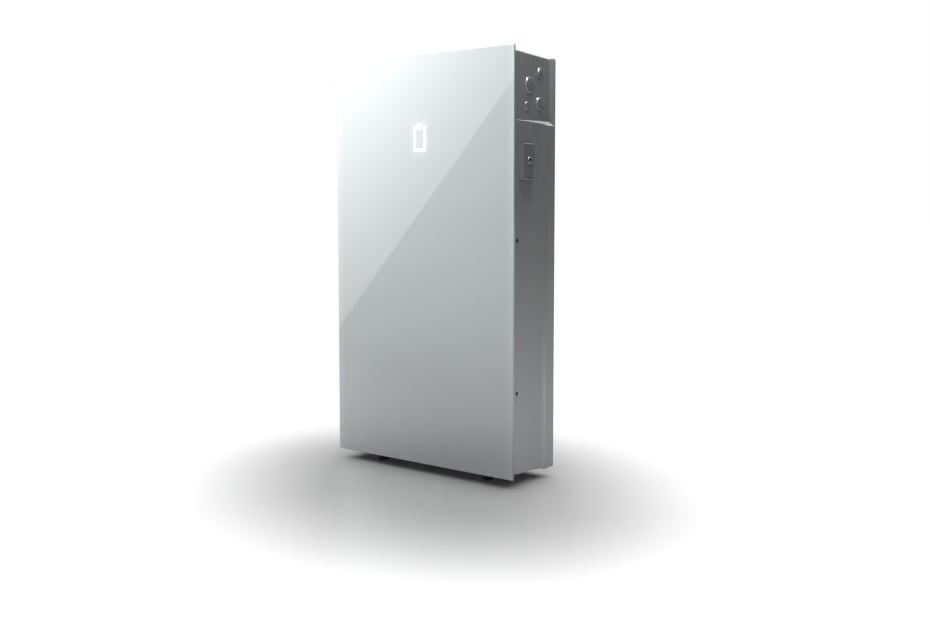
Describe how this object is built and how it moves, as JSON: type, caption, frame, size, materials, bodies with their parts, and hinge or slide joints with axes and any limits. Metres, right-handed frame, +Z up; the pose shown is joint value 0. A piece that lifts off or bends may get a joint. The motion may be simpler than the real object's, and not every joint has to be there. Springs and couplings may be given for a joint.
{
  "type": "wall battery unit",
  "caption": "Flat wall-hung battery unit: tall glass front on a slim grey metal enclosure with side conduit entries, push switch, rear fans, feet and hook-on wall bracket.",
  "frame": {"origin": "bottom centre of the whole unit, on the floor under its feet", "axes": "+X to the unit's right as seen from the front, +Y to the rear (the wall), +Z up"},
  "size_m": [0.609, 0.193, 1.125],
  "materials": {
    "cover_glass": "gloss",
    "lit_mark": "gloss",
    "clear_guide": "gloss",
    "coated_shell": "satin",
    "coated_rear": "satin",
    "switch_grey": "satin",
    "satin_ring": "satin",
    "cap_black": "satin",
    "button_black": "gloss",
    "plug_grey": "satin",
    "zinc_steel": "satin",
    "bracket_steel": "matte",
    "inner_panel": "matte",
    "frame_black": "matte",
    "gasket_black": "matte",
    "foot_rubber": "matte",
    "foot_stem": "satin",
    "fan_black": "satin",
    "guard_wire": "satin",
    "sink_aluminium": "satin",
    "module_case": "satin",
    "cradle_steel": "matte",
    "spacer_foam": "matte",
    "copper_bar": "satin",
    "circuit_board": "satin",
    "coil_varnish": "gloss",
    "capacitor_sleeve": "gloss",
    "relay_black": "satin",
    "tin_shield": "satin",
    "terminal_grey": "satin"
  },
  "bodies": {
    "enclosure": {"enclosure_shell": "coated_shell", "rear_chassis": "coated_rear", "back_plate": "coated_rear", "switch_plate": "switch_grey", "switch_ring": "satin_ring", "release_caps": "cap_black", "conduit_plug_half_inch": "plug_grey", "conduit_plug_three_quarter_inch": "plug_grey", "conduit_plug_one_inch": "plug_grey", "conduit_plug_inch_and_quarter": "plug_grey", "conduit_lock_nuts": "zinc_steel", "wiring_cover_screws": "zinc_steel", "back_plate_screws": "zinc_steel", "button_spring": "zinc_steel", "rail_posts": "zinc_steel", "board_standoffs": "zinc_steel", "hang_rail": "bracket_steel", "wiring_cover": "inner_panel", "wiring_gasket": "gasket_black", "chassis_gasket": "gasket_black", "pressure_vent": "gasket_black", "foot_pad_left_front": "foot_rubber", "foot_pad_left_rear": "foot_rubber", "foot_pad_right_front": "foot_rubber", "foot_pad_right_rear": "foot_rubber", "foot_stems": "foot_stem", "fan_frame_left": "fan_black", "fan_frame_right": "fan_black", "switch_body": "fan_black", "fan_guards": "guard_wire", "heat_sink": "sink_aluminium", "battery_module_1": "module_case", "battery_module_2": "module_case", "battery_module_3": "module_case", "battery_module_4": "module_case", "battery_cradle_left": "cradle_steel", "battery_cradle_right": "cradle_steel", "module_spacers": "spacer_foam", "busbars": "copper_bar", "ground_bar": "copper_bar", "power_board": "circuit_board", "control_board": "circuit_board", "power_inductors": "coil_varnish", "dc_capacitors": "capacitor_sleeve", "battery_contactor": "relay_black", "board_shields": "tin_shield", "terminal_block": "terminal_grey"},
    "glass_cover": {"front_glass": "cover_glass", "mark_lens": "lit_mark", "light_guide": "clear_guide", "mark_led_board": "circuit_board", "backing_panel": "inner_panel", "cover_frame": "frame_black", "cover_clips": "zinc_steel", "locating_pins": "zinc_steel"},
    "button": {"power_button": "button_black"},
    "fan_left": {"fan_rotor_left": "fan_black"},
    "fan_right": {"fan_rotor_right": "fan_black"},
    "bracket": {"wall_bracket": "bracket_steel"}
  },
  "joints": [
    {"name": "cover_pull", "type": "slide", "parent": "enclosure", "child": "glass_cover", "axis": [0, -1, 0], "range_m": [0, 0.12]},
    {"name": "button_press", "type": "slide", "parent": "enclosure", "child": "button", "axis": [-1, 0, 0], "range_m": [0, 0.0025], "stiffness_N_per_m": 600, "springref_m": -0.002, "deforming": ["button_spring"]},
    {"name": "fan_left_spin", "type": "hinge", "parent": "enclosure", "child": "fan_left", "pos_m": [-0.12, 0.078, 0.376], "axis": [0, 1, 0], "continuous": true},
    {"name": "fan_right_spin", "type": "hinge", "parent": "enclosure", "child": "fan_right", "pos_m": [0.12, 0.078, 0.376], "axis": [0, 1, 0], "continuous": true},
    {"name": "bracket_unhook", "type": "slide", "parent": "enclosure", "child": "bracket", "axis": [0, 0, -1], "range_m": [0, 0.025]}
  ]
}
